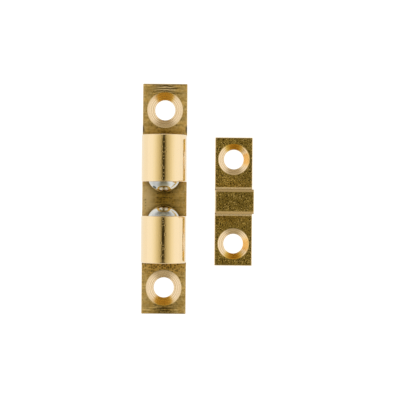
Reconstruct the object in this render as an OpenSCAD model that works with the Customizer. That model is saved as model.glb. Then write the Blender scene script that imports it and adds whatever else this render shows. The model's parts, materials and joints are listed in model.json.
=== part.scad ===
// Double ball catch for a cabinet door, in turned and milled brass.
// The catch body lies on its back face with its barrels along Y, and its strike lies beside it.
// Units are millimetres. The origin is the centre of the catch body's back face, and Z points away from it.

/* [Catch body] */
// Width of the catch body
body_w = 8.3; // [8:0.1:12]
// Thickness of the screw tabs and of the floor between the barrels
tab_t = 1.8; // [1.6:0.1:3]
// Length of each screw tab, from the end of the body to the barrel
tab_l = 9.75; // [8:0.05:14]
// Length of each barrel
barrel_l = 8.6; // [8.2:0.1:12]
// Clear gap between the barrels, where the tongue of the strike enters
gap_w = 6.3; // [5.6:0.1:8]
// Diameter of the screw holes in the tabs
hole_d = 3.8; // [3:0.1:4.2]
// Diameter of the countersinks in the tabs
countersink_d = 6.65; // [5.5:0.05:7]
// Included angle of all the countersinks
countersink_angle = 108; // [90:1:120]
// Chamfer that breaks the milled edges of the tabs and the strike
edge_break = 0.12; // [0.05:0.01:0.2]
// Chamfer at the ends of the barrels
barrel_chamfer = 0.2; // [0.1:0.05:0.4]

/* [Balls] */
// Diameter of the steel balls
ball_d = 6; // [5:0.1:6.2]
// How far each ball stands out of its barrel at rest
ball_out = 1.95; // [1:0.05:2.2]
// Gap between a ball and its round seat
seat_clear = 0.05; // [0.03:0.01:0.1]
// Gap between a ball and the bore that it slides in
bore_clear = 0.08; // [0.03:0.01:0.12]

/* [Springs] */
// Diameter of the spring wire
wire_d = 0.4; // [0.3:0.05:0.5]
// Outside diameter of the springs
spring_od = 4.6; // [3.6:0.1:5]
// Open turns in the middle of each spring
open_turns = 2; // [1:0.25:3]
// Closed turns at each end of a spring
closed_turns = 0.75; // [0.5:0.25:1]
// Gap between the closed turns
closed_gap = 0.06; // [0.02:0.01:0.1]
// Gap between a spring and the piece that it bears on
spring_clear = 0.03; // [0.02:0.01:0.1]

/* [Adjusters] */
// Diameter over the thread of the adjusting screws
adjuster_d = 6.7; // [6.4:0.1:7]
// Length of the adjusting screws
adjuster_l = 1.8; // [1.5:0.1:2.2]
// Depth of an adjusting screw below the end of its barrel
adjuster_sunk = 0.2; // [0:0.05:0.5]
// How far the threaded hole runs on behind an adjusting screw
thread_run = 0.5; // [0.2:0.1:0.8]
// Lead-in chamfer at the mouth of the threaded hole
thread_lead = 0.15; // [0.05:0.05:0.2]
// Radial gap between an adjusting screw and its hole
thread_clear = 0.05; // [0.02:0.01:0.1]
// Width of the screwdriver slot
slot_w = 0.9; // [0.6:0.1:1.2]
// Depth of the screwdriver slot
slot_depth = 0.8; // [0.5:0.1:1]
// Chamfer at the ends of the adjusting screws
adjuster_chamfer = 0.2; // [0.1:0.05:0.3]
// Height of the lowest part of the threaded hole above the tab in front of it
hole_over_tab = 0.3; // [0.25:0.05:1]

/* [Strike] */
// Length of the strike
strike_l = 24; // [21:0.1:30]
// Width of the strike
strike_w = 7; // [6.4:0.1:9]
// Thickness of the plate of the strike
strike_t = 1.5; // [1.3:0.1:2.5]
// Diameter of the screw holes in the strike
strike_hole_d = 3.7; // [3:0.1:4]
// Diameter of the countersinks in the strike
strike_countersink_d = 5.8; // [5:0.1:6]
// Distance from each end of the strike to the middle of its screw hole
strike_hole_inset = 4.1; // [3.5:0.1:4.5]
// Gap at each side of the tongue's head when it is between the barrels
tongue_side = 0.925; // [0.7:0.025:1]
// How far the tongue's waist pushes each ball in when the catch is shut
tongue_grip = 0.2; // [0:0.05:0.3]
// Gap between the barrels and the plate of the strike when the catch is shut
shut_gap = 0.3; // [0.1:0.05:1]
// Gap between the floor and the top of the tongue when the catch is shut
floor_gap = 0.3; // [0.1:0.05:0.6]
// Gap between a ball and the groove that it drops into
groove_clear = 0.3; // [0.1:0.05:0.5]
// Lead-in chamfer at the top of the tongue
tongue_chamfer = 0.45; // [0.3:0.05:0.6]
// Fillet where the tongue meets the plate
tongue_fillet = 0.45; // [0.2:0.05:0.6]
// Space between the catch body and the strike lying beside it
strike_space = 5.3; // [2:0.05:10]
// Distance of the strike's centre from the catch body's centre along Y
strike_y = -0.4; // [-3:0.05:3]

/* [Hidden] */
$fn = 64;
overshoot = 1;

// Barrels: places along Y are measured from the middle of the gap
barrel_r = body_w / 2;
barrel_from = gap_w / 2;
barrel_to = barrel_from + barrel_l;
axis_z = tab_t + hole_over_tab + adjuster_d / 2;
body_l = 2 * (barrel_to + tab_l);
tab_hole_y = barrel_to + tab_l / 2;

// Balls, springs and adjusters, in line along the axis of a barrel
ball_r = ball_d / 2;
ball_y = barrel_from + ball_r - ball_out;
adjuster_to = barrel_to - adjuster_sunk;
adjuster_from = adjuster_to - adjuster_l;
coil_r = (spring_od - wire_d) / 2;
coil_reach = sqrt(pow(ball_r + spring_clear + wire_d / 2, 2) - coil_r * coil_r);
coil_from = ball_y + coil_reach;
coil_to = adjuster_from - spring_clear - wire_d / 2;

// Spring: its closed turns rise by little more than the wire, and its open turns take up the rest
closed_pitch = wire_d + closed_gap;
all_turns = open_turns + 2 * closed_turns;
open_pitch = (coil_to - coil_from - 2 * closed_turns * closed_pitch) / open_turns;
rings_per_turn = 20;
wire_sides = 8;
ring_count = round(all_turns * rings_per_turn);

// Strike: the tongue fits between the barrels, and its grooves face the balls when the catch is shut
strike_x = body_w / 2 + strike_space + strike_w / 2;
strike_hole_y = strike_l / 2 - strike_hole_inset;
groove_r = ball_r + groove_clear;
groove_h = barrel_r + shut_gap;
tongue_h = groove_h + axis_z - tab_t - floor_gap;
tongue_head = gap_w - 2 * tongue_side;
tongue_waist = gap_w - 2 * ball_out + 2 * tongue_grip;

// A box with all its edges chamfered, centred on Z and standing on its lowest face
module eased_box(size, ease) {
    intersection() {
        linear_extrude(size.z) eased_square(size.x, size.y, ease);
        translate([0, 0, size.z / 2]) rotate([90, 0, 0])
            linear_extrude(size.y, center = true) eased_square(size.x, size.z, ease);
        translate([0, 0, size.z / 2]) rotate([90, 0, 90])
            linear_extrude(size.x, center = true) eased_square(size.y, size.z, ease);
    }
}

// A rectangle about the origin with its corners cut off
module eased_square(width, height, ease) {
    x = width / 2;
    y = height / 2;
    polygon([
        [x, y - ease], [x - ease, y], [ease - x, y], [-x, y - ease],
        [-x, ease - y], [ease - x, -y], [x - ease, -y], [x, ease - y]
    ]);
}

// A round bar along +Y from the origin with a cone at each end
module eased_bar(length, radius, ease) {
    rotate([-90, 0, 0]) {
        translate([0, 0, ease]) cylinder(h = length - 2 * ease, r = radius);
        cylinder(h = ease, r1 = radius - ease, r2 = radius);
        translate([0, 0, length - ease]) cylinder(h = ease, r1 = radius, r2 = radius - ease);
    }
}

// The cut for a countersunk screw through a plate whose back face is at Z = 0
module countersunk_hole(plate_t, diameter, head_d) {
    spread = 2 * tan(countersink_angle / 2);
    cone_h = (head_d - diameter) / spread;
    translate([0, 0, -overshoot]) cylinder(h = plate_t + 2 * overshoot, d = diameter);
    translate([0, 0, plate_t - cone_h])
        cylinder(h = cone_h + overshoot, d1 = diameter, d2 = head_d + overshoot * spread);
}

// Turns a piece of the rear barrel round to the front one
module at_front() {
    rotate([0, 0, 180]) children();
}

// The solid form of the rear barrel: a round top on straight sides
module barrel_form() {
    translate([0, barrel_from, axis_z]) eased_bar(barrel_l, barrel_r, barrel_chamfer);
    translate([0, barrel_from + barrel_l / 2, tab_t / 2])
        linear_extrude(axis_z - tab_t / 2) eased_square(body_w, barrel_l, barrel_chamfer);
}

// The cuts in the rear barrel: the ball's seat and bore, then the hole for the adjuster
module barrel_cuts() {
    translate([0, ball_y, axis_z]) {
        sphere(r = ball_r + seat_clear);
        rotate([-90, 0, 0]) cylinder(h = barrel_to - ball_y, r = ball_r + bore_clear);
    }
    thread_from = adjuster_from - thread_run;
    translate([0, thread_from, axis_z]) rotate([-90, 0, 0])
        cylinder(h = barrel_to - thread_from + overshoot, d = adjuster_d);
    translate([0, barrel_to - thread_lead, axis_z]) rotate([-90, 0, 0])
        cylinder(h = thread_lead, d1 = adjuster_d, d2 = adjuster_d + 2 * thread_lead);
}

module catch_body() {
    color("darkgoldenrod") difference() {
        union() {
            eased_box([body_w, body_l, tab_t], edge_break);
            barrel_form();
            at_front() barrel_form();
        }
        barrel_cuts();
        at_front() barrel_cuts();
        for (side = [-1, 1]) translate([0, side * tab_hole_y, 0])
            countersunk_hole(tab_t, hole_d, countersink_d);
    }
}

module ball() {
    color("silver") translate([0, ball_y, axis_z]) sphere(r = ball_r);
}

// How far along Y the spring has risen after a number of turns
function coil_rise(turn) =
    let (
        first = min(turn, closed_turns),
        middle = min(max(turn - closed_turns, 0), open_turns),
        last = max(turn - closed_turns - open_turns, 0)
    )
    (first + last) * closed_pitch + middle * open_pitch;

// The points of one ring of the wire, after a number of turns
function wire_ring(turn) = [
    for (side = [0 : wire_sides - 1])
        let (
            around = 360 * side / wire_sides,
            radius = coil_r + wire_d / 2 * cos(around),
            along = coil_from + coil_rise(turn) + wire_d / 2 * sin(around)
        )
        [radius * cos(360 * turn), along, axis_z + radius * sin(360 * turn)]
];

module spring() {
    points = [
        for (ring = [0 : ring_count]) each wire_ring(all_turns * ring / ring_count)
    ];
    walls = [
        for (ring = [0 : ring_count - 1], side = [0 : wire_sides - 1])
            let (
                next = (side + 1) % wire_sides,
                here = ring * wire_sides,
                there = here + wire_sides
            )
            [here + side, here + next, there + next, there + side]
    ];
    first_end = [for (side = [wire_sides - 1 : -1 : 0]) side];
    last_end = [for (side = [0 : wire_sides - 1]) ring_count * wire_sides + side];
    color("gainsboro") polyhedron(points, concat(walls, [first_end, last_end]));
}

module adjuster() {
    radius = adjuster_d / 2 - thread_clear;
    color("goldenrod") difference() {
        translate([0, adjuster_from, axis_z]) eased_bar(adjuster_l, radius, adjuster_chamfer);
        translate([-adjuster_d, adjuster_to - slot_depth, axis_z - slot_w / 2])
            cube([2 * adjuster_d, slot_depth + overshoot, slot_w]);
    }
}

// The section of the tongue, standing on the plate: parallel sides with a groove in each for a ball
module tongue_section() {
    half = tongue_head / 2;
    difference() {
        union() {
            polygon([
                [-half, -strike_t / 2], [half, -strike_t / 2],
                [half, tongue_h - tongue_chamfer], [half - tongue_chamfer, tongue_h],
                [tongue_chamfer - half, tongue_h], [-half, tongue_h - tongue_chamfer]
            ]);
            translate([0, tongue_fillet / 2])
                square([tongue_head + 2 * tongue_fillet, tongue_fillet], center = true);
        }
        for (side = [-1, 1]) {
            translate([side * (tongue_waist / 2 + groove_r), groove_h]) circle(r = groove_r);
            translate([side * (half + tongue_fillet), tongue_fillet]) circle(r = tongue_fillet);
        }
    }
}

module tongue() {
    intersection() {
        translate([0, 0, strike_t]) rotate([90, 0, 90])
            linear_extrude(strike_w, center = true) tongue_section();
        eased_box([strike_w, strike_l, strike_t + tongue_h], edge_break);
    }
}

module strike() {
    color("olive") translate([strike_x, strike_y, 0]) difference() {
        union() {
            eased_box([strike_w, strike_l, strike_t], edge_break);
            tongue();
        }
        for (side = [-1, 1]) translate([0, side * strike_hole_y, 0])
            countersunk_hole(strike_t, strike_hole_d, strike_countersink_d);
    }
}

catch_body();
ball();  // rear_ball
at_front() ball();  // front_ball
spring();  // rear_spring
at_front() spring();  // front_spring
adjuster();  // rear_adjuster
at_front() adjuster();  // front_adjuster
strike();
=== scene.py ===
# %% [markdown]
# # A brass double ball catch
# The catch holds a cabinet door shut. Its body has two barrels with a sprung steel ball in each, and
# the tongue of the strike, on the door, snaps in between the balls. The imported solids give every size
# and place here. This lesson gives the pieces their fine edges and finishes, and photographs them
# from straight above.

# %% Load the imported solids
import json
from math import asin, cos, pi, radians, sin, tan
from types import SimpleNamespace

import bmesh
import bpy
import numpy as np
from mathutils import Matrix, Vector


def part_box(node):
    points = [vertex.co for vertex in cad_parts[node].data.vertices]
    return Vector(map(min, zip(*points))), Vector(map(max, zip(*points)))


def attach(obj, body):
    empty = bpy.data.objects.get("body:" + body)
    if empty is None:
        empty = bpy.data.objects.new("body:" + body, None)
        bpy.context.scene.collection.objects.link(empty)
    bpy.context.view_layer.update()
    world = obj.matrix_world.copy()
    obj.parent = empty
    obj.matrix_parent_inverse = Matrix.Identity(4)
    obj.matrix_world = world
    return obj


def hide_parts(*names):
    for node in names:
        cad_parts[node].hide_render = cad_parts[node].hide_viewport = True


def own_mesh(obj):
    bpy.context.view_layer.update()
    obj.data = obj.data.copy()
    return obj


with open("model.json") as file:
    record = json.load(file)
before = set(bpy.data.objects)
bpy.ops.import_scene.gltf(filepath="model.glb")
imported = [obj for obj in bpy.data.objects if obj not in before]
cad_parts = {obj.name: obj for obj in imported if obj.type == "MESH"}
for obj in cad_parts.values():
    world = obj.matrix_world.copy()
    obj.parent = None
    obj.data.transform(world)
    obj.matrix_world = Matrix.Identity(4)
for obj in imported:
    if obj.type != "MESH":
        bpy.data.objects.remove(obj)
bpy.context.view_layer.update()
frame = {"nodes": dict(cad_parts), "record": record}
mounts = {mount["name"]: mount for mount in frame["record"]["mounts"]}
print("nodes", sorted(frame["nodes"]))

# %% [markdown]
# ## Sizes
# Everything is worked out in millimetres and put into the mesh in metres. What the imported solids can
# tell is read from them: the box of a node, or the holes of a mount. A few sizes lie inside a node's
# box, such as the thickness of the tabs, so they are written once, where they are first needed.

# %% Sizes of the body
MM = 0.001


def box_mm(node):
    """Lowest and highest corner of a node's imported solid, in millimetres."""
    low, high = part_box(node)
    return np.array(low) / MM, np.array(high) / MM


HALF_W, BODY_END, BODY_TOP = box_mm("catch_body")[1]
AXIS_Z = BODY_TOP - HALF_W
TAB_T = 1.8
print(f"body {2 * HALF_W:.2f} x {2 * BODY_END:.2f} mm, axis of the barrels {AXIS_Z:.2f} mm up")

# %% [markdown]
# ## The camera
# The photograph looks straight down. Its scale comes from the body's length, and the camera's height
# from the tongue of the strike: its top looks a little larger than the plate below it, as it is nearer.
# The pieces lie turned by half a degree in the picture, so the camera rolls by as much.

# %% Camera above the catch
PHOTO_SIZE = 400
BODY_PIXEL = (164.35, 198.85)
PIXELS_PER_MM = 5.351
CAMERA_HEIGHT = 240.0
CAMERA_ROLL = radians(0.5)
SENSOR = 36.0

scene = bpy.context.scene
scene.view_settings.view_transform = "Standard"

side_step = (PHOTO_SIZE / 2 - BODY_PIXEL[0]) / PIXELS_PER_MM
up_step = (BODY_PIXEL[1] - PHOTO_SIZE / 2) / PIXELS_PER_MM
camera_data = bpy.data.cameras.new("camera")
camera_data.sensor_width = SENSOR
camera_data.lens = SENSOR * (CAMERA_HEIGHT - TAB_T) / (PHOTO_SIZE / PIXELS_PER_MM)
camera = bpy.data.objects.new("camera", camera_data)
camera.location = (
    MM * (side_step * cos(CAMERA_ROLL) - up_step * sin(CAMERA_ROLL)),
    MM * (side_step * sin(CAMERA_ROLL) + up_step * cos(CAMERA_ROLL)),
    MM * CAMERA_HEIGHT,
)
camera.rotation_euler = (0, 0, CAMERA_ROLL)
scene.collection.objects.link(camera)
scene.camera = camera
print(f"lens {camera_data.lens:.1f} mm at {CAMERA_HEIGHT:.0f} mm")

# %% [markdown]
# ## The table
# The pieces lie on a white table that is lit so evenly that nothing casts a shadow on it. Lamps above a
# white sheet could do that, but they would show in the brass, so the table glows by itself. Brass that
# mirrors so bright a white would burn out, so the light path decides: the camera sees nearly full white,
# and the metal mirrors a dimmer one.

# %% White table
FLOOR_HALF = 1.5
FLOOR_DROP = 0.00002
FLOOR_SEEN = (0.97, 0.97, 0.97)
FLOOR_MIRRORED = (0.8, 0.8, 0.8)
FLOOR_GREY = (0.25, 0.25, 0.25)
FLOOR_ROUGHNESS = 0.9


def node(tree, kind, inputs=None, **settings):
    """Adds a shader node with its settings. An input that is given a socket is linked, any other is set."""
    made = tree.nodes.new("ShaderNode" + kind)
    for key, value in settings.items():
        setattr(made, key, value)
    for key, value in (inputs or {}).items():
        if isinstance(value, bpy.types.NodeSocket):
            tree.links.new(value, made.inputs[key])
        else:
            made.inputs[key].default_value = value
    return made


def blend(tree, share, first, second):
    """The first colour where the share is 0, the second where it is 1."""
    first, second = (c if isinstance(c, bpy.types.NodeSocket) else (*c, 1) for c in (first, second))
    return node(tree, "Mix", {"Factor": share, 6: first, 7: second}, data_type="RGBA").outputs[2]


def plain_floor():
    """A large square just below the pieces, white and glowing."""
    mesh = bpy.data.meshes.new("floor")
    corners = FLOOR_HALF * np.array([(-1, -1, 0), (1, -1, 0), (1, 1, 0), (-1, 1, 0)])
    mesh.from_pydata((corners - (0, 0, FLOOR_DROP)).tolist(), [], [(0, 1, 2, 3)])
    white = bpy.data.materials.new("white_table")
    white.use_nodes = True
    tree = white.node_tree
    shader = tree.nodes["Principled BSDF"]
    shader.inputs["Base Color"].default_value = (*FLOOR_GREY, 1)
    shader.inputs["Roughness"].default_value = FLOOR_ROUGHNESS
    shader.inputs["Specular IOR Level"].default_value = 0
    shader.inputs["Emission Strength"].default_value = 1
    seen = node(tree, "LightPath").outputs["Is Camera Ray"]
    tree.links.new(blend(tree, seen, FLOOR_MIRRORED, FLOOR_SEEN), shader.inputs["Emission Color"])
    mesh.materials.append(white)
    return bpy.data.objects.new("floor", mesh)


floor = plain_floor()
scene.collection.objects.link(floor)
print(f"table {2 * FLOOR_HALF:.0f} m wide, seen at {FLOOR_SEEN[0]} and mirrored at {FLOOR_MIRRORED[0]}")

# %% [markdown]
# ## The room
# Polished brass shows its surroundings, so the light is most of the look. In the photograph the barrels
# have a dark line along their tops and turn pale towards both sides: soft light comes from the left
# and the right, less from behind and least from the front, and it is dark overhead, where the camera
# hangs. Lamps would show their edges in the brass, so the room itself shines. Each side has its list of
# colours by the angle from straight up, in degrees, and the direction of a ray mixes the lists.

# %% Light by the angle from straight up
OVERHEAD = (0.016, 0.0125, 0.004)
SIDE_LIGHT = (
    (0, OVERHEAD), (3, (0.022, 0.017, 0.005)), (6, (0.1, 0.081, 0.03)), (10, (0.35, 0.292, 0.138)),
    (20, (0.59, 0.518, 0.32)), (30, (0.73, 0.66, 0.44)), (45, (0.92, 0.88, 0.72)),
    (62, (1.0, 0.99, 0.95)), (90, (1.0, 1.0, 1.0)),
)
FRONT_LIGHT = (
    (0, OVERHEAD), (25, (0.13, 0.11, 0.06)), (50, (0.27, 0.24, 0.16)), (72, (0.48, 0.43, 0.3)),
    (90, (0.66, 0.61, 0.5)),
)
BACK_LIGHT = (
    (0, OVERHEAD), (25, (0.13, 0.11, 0.06)), (40, (0.48, 0.42, 0.28)), (55, (0.74, 0.68, 0.49)),
    (72, (0.4, 0.35, 0.25)), (90, (0.33, 0.3, 0.24)),
)


def angle_ramp(tree, share, stops):
    """A colour ramp whose stops are given as angles from straight up, in degrees."""
    colors = node(tree, "ValToRGB", {"Fac": share})
    elements = colors.color_ramp.elements
    while len(elements) < len(stops):
        elements.new(1)
    for element, (angle, color) in zip(elements, stops):
        element.position = angle / 90
        element.color = (*color, 1)
    return colors.outputs["Color"]


print("stops of light at the sides, in front and behind", *map(len, (SIDE_LIGHT, FRONT_LIGHT, BACK_LIGHT)))

# %% Shining room
SIDES_FROM, SIDES_TO = 0.3, 0.8
FRONT_TO, BACK_FROM = -0.4, 0.4
WHITE = (1.0, 1.0, 1.0)


def calc(tree, operation, *values):
    """What a Math node makes of numbers or sockets."""
    return node(tree, "Math", dict(enumerate(values)), operation=operation).outputs[0]


def vector_calc(tree, operation, *values):
    """What a Vector Math node makes of places or sockets."""
    return node(tree, "VectorMath", dict(enumerate(values)), operation=operation).outputs[0]


def soft_step(tree, value, start, end):
    """0 where the value is at the start, 1 where it is at the end, and an S-shaped way between them."""
    limits = {"Value": value, "From Min": start, "From Max": end}
    return node(tree, "MapRange", limits, interpolation_type="SMOOTHSTEP").outputs["Result"]


def shining_room():
    """A world that is dark overhead, bright at the left and right, dimmer behind and dimmest in front."""
    room = bpy.data.worlds.new("room")
    room.use_nodes = True
    tree = room.node_tree
    direction = node(tree, "TexCoord").outputs["Generated"]
    angle = calc(tree, "ARCCOSINE", node(tree, "SeparateXYZ", {0: direction}).outputs["Z"])
    share = calc(tree, "MULTIPLY", angle, 2 / pi)
    side, front, back = (angle_ramp(tree, share, stops) for stops in (SIDE_LIGHT, FRONT_LIGHT, BACK_LIGHT))
    level = vector_calc(tree, "NORMALIZE", vector_calc(tree, "MULTIPLY", direction, (1, 1, 0)))
    parts = node(tree, "SeparateXYZ", {0: level})
    sideways = soft_step(tree, calc(tree, "ABSOLUTE", parts.outputs["X"]), SIDES_FROM, SIDES_TO)
    behind = soft_step(tree, parts.outputs["Y"], FRONT_TO, BACK_FROM)
    light = blend(tree, sideways, blend(tree, behind, front, back), side)
    seen = node(tree, "LightPath").outputs["Is Camera Ray"]
    tree.links.new(blend(tree, seen, light, WHITE), tree.nodes["Background"].inputs["Color"])
    return room


scene.world = shining_room()
print(f"{scene.world.name} of {len(scene.world.node_tree.nodes)} nodes")

# %% [markdown]
# ## Grids into meshes
# Each surface below is a grid of points worked out with numpy: rows of points, and quads between
# neighbours. A piece is several grids that share their borders. Blender could cut and join blocks
# with booleans instead, but grids give even quads along every rounded edge and no slivers. Points
# that fall together are welded, which also closes the poles, and the normals are then turned outwards.

# %% Quads and welding
WELD = 0.0000005
SHARP_ANGLE = radians(25)


def quads(rows, columns, closed):
    """Corner numbers of the quads between neighbours in a grid whose points are numbered row by row."""
    across = np.arange(columns if closed else columns - 1)
    row, column = np.meshgrid(np.arange(rows - 1), across, indexing="ij")
    here = row * columns + column
    beside = row * columns + (column + 1) % columns
    return np.stack([here, beside, beside + columns, here + columns], axis=-1).reshape(-1, 4)


def weld(mesh):
    """Welds points that fall together, turns the faces outwards and smooths all but the sharp edges."""
    shape = bmesh.new()
    shape.from_mesh(mesh)
    bmesh.ops.remove_doubles(shape, verts=shape.verts, dist=WELD)
    bmesh.ops.recalc_face_normals(shape, faces=shape.faces)
    open_edges = sum(not edge.is_manifold for edge in shape.edges)
    shape.to_mesh(mesh)
    shape.free()
    mesh.shade_smooth()
    mesh.set_sharp_from_angle(angle=SHARP_ANGLE)
    print(f"{mesh.name}: {len(mesh.polygons)} faces, {open_edges} open edges")


print("a ring of 2 rows of 3 points has the quads", quads(2, 3, True).tolist())

# %% From grids to a piece
ZONES = ("milled", "polished", "turned", "eased", "drawn", "cut")


def piece_from_grids(name, grids, polygons=()):
    """Joins grids of points in millimetres into one welded mesh and marks each face with its finish.
    A grid is (points[rows, columns, 3], finish, whether its rows close), and a polygon (points, finish)."""
    points, faces, finishes, count = [], [], [], 0
    for grid, finish, closed in grids:
        rows, columns = grid.shape[:2]
        made = quads(rows, columns, closed) + count
        points.append(grid.reshape(-1, 3))
        faces.extend(made.tolist())
        finishes.extend([finish] * len(made))
        count += rows * columns
    for corners, finish in polygons:
        points.append(corners)
        faces.append(list(range(count, count + len(corners))))
        finishes.append(finish)
        count += len(corners)
    mesh = bpy.data.meshes.new(name)
    mesh.from_pydata((np.concatenate(points) * MM).tolist(), [], faces)
    for zone in ZONES:
        layer = mesh.attributes.new(zone, "FLOAT", "FACE")
        layer.data.foreach_set("value", (np.array(finishes) == zone).astype(np.float32))
    weld(mesh)
    piece = bpy.data.objects.new(name, mesh)
    scene.collection.objects.link(piece)
    return piece


def even_normals(piece):
    """Lets large flat faces set the normals at their rims, so that they shade flat beside a round edge."""
    smoother = piece.modifiers.new("even_normals", "WEIGHTED_NORMAL")
    smoother.keep_sharp = True


print("finishes", ZONES)

# %% [markdown]
# ## A plate with a countersunk hole
# Both tabs of the body and both wings of the strike are plates with one countersunk hole, joined to
# the rest along one side. Walk once around such a plate: for each step there is a point on its outline
# and a point on the hole, and the surface runs from one to the other, over the top, down through the
# countersink and back along the underside. So each plate is a few grids with the same columns.

# %% Arrays of points
def stack(x, y, z):
    """Points from three arrays that broadcast to one shape."""
    return np.stack(np.broadcast_arrays(x, y, z), axis=-1).astype(float)


def between(first, last, shares):
    """Rows of points that go from one row of points to another by the given shares of the way."""
    shares = np.asarray(shares, float)[:, None, None]
    return first[None] * (1 - shares) + last[None] * shares


def crowded(steps):
    """Shares from 0 to 1 that lie closer together near 0: a power of even steps."""
    return np.linspace(0, 1, steps) ** 1.5


ARC = np.linspace(0, pi / 2, 6)
ACROSS = np.linspace(-1, 1, 25)
FACE_SHARES = (0, 0.1, 0.5, 0.9, 1)
print(f"{len(ARC)} points round an edge, {len(ACROSS)} across a flat face")

# %% Outline of a plate
EDGE = 0.12
CORNER = np.linspace(0, pi / 2, 5)
SIDE_STEPS = 25


def plate_outline(half_w, joint_y, end_y, side_edges):
    """Outline of the three free sides of a plate, from the joint at +X round the end to the joint at -X:
    points on it, the way out of it, and the radius of its top edge there."""
    along = joint_y + (end_y - EDGE - joint_y) * crowded(SIDE_STEPS)
    right = stack(half_w, along, 0)
    right_corner = stack(half_w - EDGE + EDGE * np.cos(CORNER), end_y - EDGE + EDGE * np.sin(CORNER), 0)
    end = stack((half_w - EDGE) * ACROSS[::-1], end_y, 0)
    left = [side[::-1] * (-1, 1, 1) for side in (right_corner, right)]
    points = np.concatenate([right, right_corner, end, *left])
    turn = np.concatenate([
        np.zeros_like(along), CORNER, np.full_like(ACROSS, pi / 2), pi / 2 + CORNER, np.full_like(along, pi)
    ])
    out = stack(np.cos(turn), np.sin(turn), 0)
    end_edge = np.full(len(points) - 2 * len(along), EDGE)
    top_edge = np.concatenate([side_edges(along), end_edge, side_edges(along[::-1])])
    return points, out, top_edge[:, None]


print(f"edges eased by {EDGE} mm")

# %% Plate surface
HOLE_BREAK = 0.05
COUNTERSINK_SLOPE = radians(36)
COUNTERSINK_STEPS = 9


def countersunk_bore(ring, thick, hole):
    """Wall of a hole from the underside up, with a column for each point of a ring around it: a broken
    edge, the straight bore, and the cone of the countersink with its broken rim."""
    hole_y, hole_r, sink_r = hole
    around = np.arctan2(ring[:, 1] - hole_y, ring[:, 0])
    rise = tan(COUNTERSINK_SLOPE)
    sink_z = thick - (sink_r - hole_r) * rise
    shares = np.linspace(0, 1, COUNTERSINK_STEPS)
    cone_r = hole_r + (sink_r - HOLE_BREAK - hole_r) * shares
    cone_z = sink_z + (thick - HOLE_BREAK * rise - sink_z) * shares
    radii = np.array([hole_r + HOLE_BREAK, hole_r, *cone_r, sink_r + HOLE_BREAK])[:, None]
    heights = np.array([0, HOLE_BREAK, *cone_z, thick])[:, None]
    return stack(radii * np.cos(around), hole_y + radii * np.sin(around), heights)


def plate_grids(half_w, joint_y, end_y, thick, hole, side_edges):
    """Grids of a plate from its joint to its end. hole is (its place in Y, its radius, the radius of its
    countersink), and side_edges gives the radius of the top edge at a place along the sides."""
    points, out, top_edge = plate_outline(half_w, joint_y, end_y, side_edges)
    up = np.array((0, 0, 1.0))
    upper = [points - out * top_edge * (1 - sin(a)) + up * (thick - top_edge * (1 - cos(a))) for a in ARC]
    lower = [points - out * EDGE * (1 - cos(a)) + up * EDGE * (1 - sin(a)) for a in ARC]
    joint_top = stack((half_w - top_edge[0, 0]) * ACROSS, joint_y, thick)
    joint_under = stack((half_w - EDGE) * ACROSS, joint_y, 0)
    top_ring = np.concatenate([upper[0], joint_top])
    under_ring = np.concatenate([lower[-1], joint_under])
    bore = countersunk_bore(top_ring, thick, hole)
    return [
        (between(bore[-1], top_ring, FACE_SHARES), "milled", True),
        (between(bore[0], under_ring, FACE_SHARES), "drawn", True),
        (bore, "turned", True),
        (np.array(upper), "eased", False),
        (np.array([upper[-1], lower[0]]), "drawn", False),
        (np.array(lower), "eased", False),
    ]


print(f"countersinks rise by {tan(COUNTERSINK_SLOPE):.2f} mm for each millimetre outwards")

# %% [markdown]
# ## The barrels
# A barrel is a round bar on straight sides, bored from end to end. Seen along its axis, each point of
# the outline has a partner on the bore, so the end faces, the seat of the ball and the hole for the
# adjuster are one grid around the axis. The lip that holds the ball is where the round seat meets the
# inner end. The skin is a second grid, left open below, where the barrel grows out of the plate.

# %% Sizes of the barrels
BARREL_FROM = 3.15
BARREL_TO = 11.75
SEAT_GAP = 0.05
BORE_GAP = 0.08
THREAD_GAP = 0.05
THREAD_RUN = 0.5
THREAD_LEAD = 0.15

ball_low, ball_high = box_mm("rear_ball")
BALL_R = (ball_high[0] - ball_low[0]) / 2
BALL_Y = ball_high[1] - BALL_R
SEAT_R = BALL_R + SEAT_GAP
BORE_R = BALL_R + BORE_GAP

screw_low, screw_high = box_mm("rear_adjuster")
SCREW_R = (screw_high[0] - screw_low[0]) / 2
SCREW_FROM, SCREW_TO = screw_low[1], screw_high[1]
THREAD_R = SCREW_R + THREAD_GAP
print(f"the balls stand {BARREL_FROM - ball_low[1]:.2f} mm out of their barrels")

# %% Section of a barrel
BARREL_EDGE = 0.2
BARREL_EDGE_RUN = 1.2
WALL_STEPS = 11
ARCH = np.linspace(0, pi, 61)
AXIS = np.array((0, 0, AXIS_Z))


def circle(radius, turns, y):
    """Points at the given turns of a circle about the Y axis."""
    return stack(radius * np.cos(turns), y, radius * np.sin(turns))


def smooth_step(value):
    """0 below 0, 1 above 1, and an S-shaped rise between them."""
    value = np.clip(value, 0, 1)
    return value * value * (3 - 2 * value)


def barrel_outline():
    """Half section of a barrel from its foot at +X over the top to its foot at -X: points, the way out,
    and the radius of the edge at its ends, which fades out at the feet."""
    sides = TAB_T + (AXIS_Z - TAB_T) * crowded(WALL_STEPS)
    points = np.concatenate([
        stack(HALF_W, 0, sides),
        circle(HALF_W, ARCH, 0) + AXIS,
        stack(-HALF_W, 0, sides[::-1]),
    ])
    turn = np.concatenate([np.zeros_like(sides), ARCH, np.full_like(sides, pi)])
    out = circle(1, turn, 0)
    edge = BARREL_EDGE * smooth_step((points[:, 2:] - TAB_T) / BARREL_EDGE_RUN)
    return points, out, edge


print(f"{len(ARCH)} points over the top of a barrel")

# %% Barrel surface
SKIN_STEPS = 13
SEAT_STEPS = 12


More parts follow.
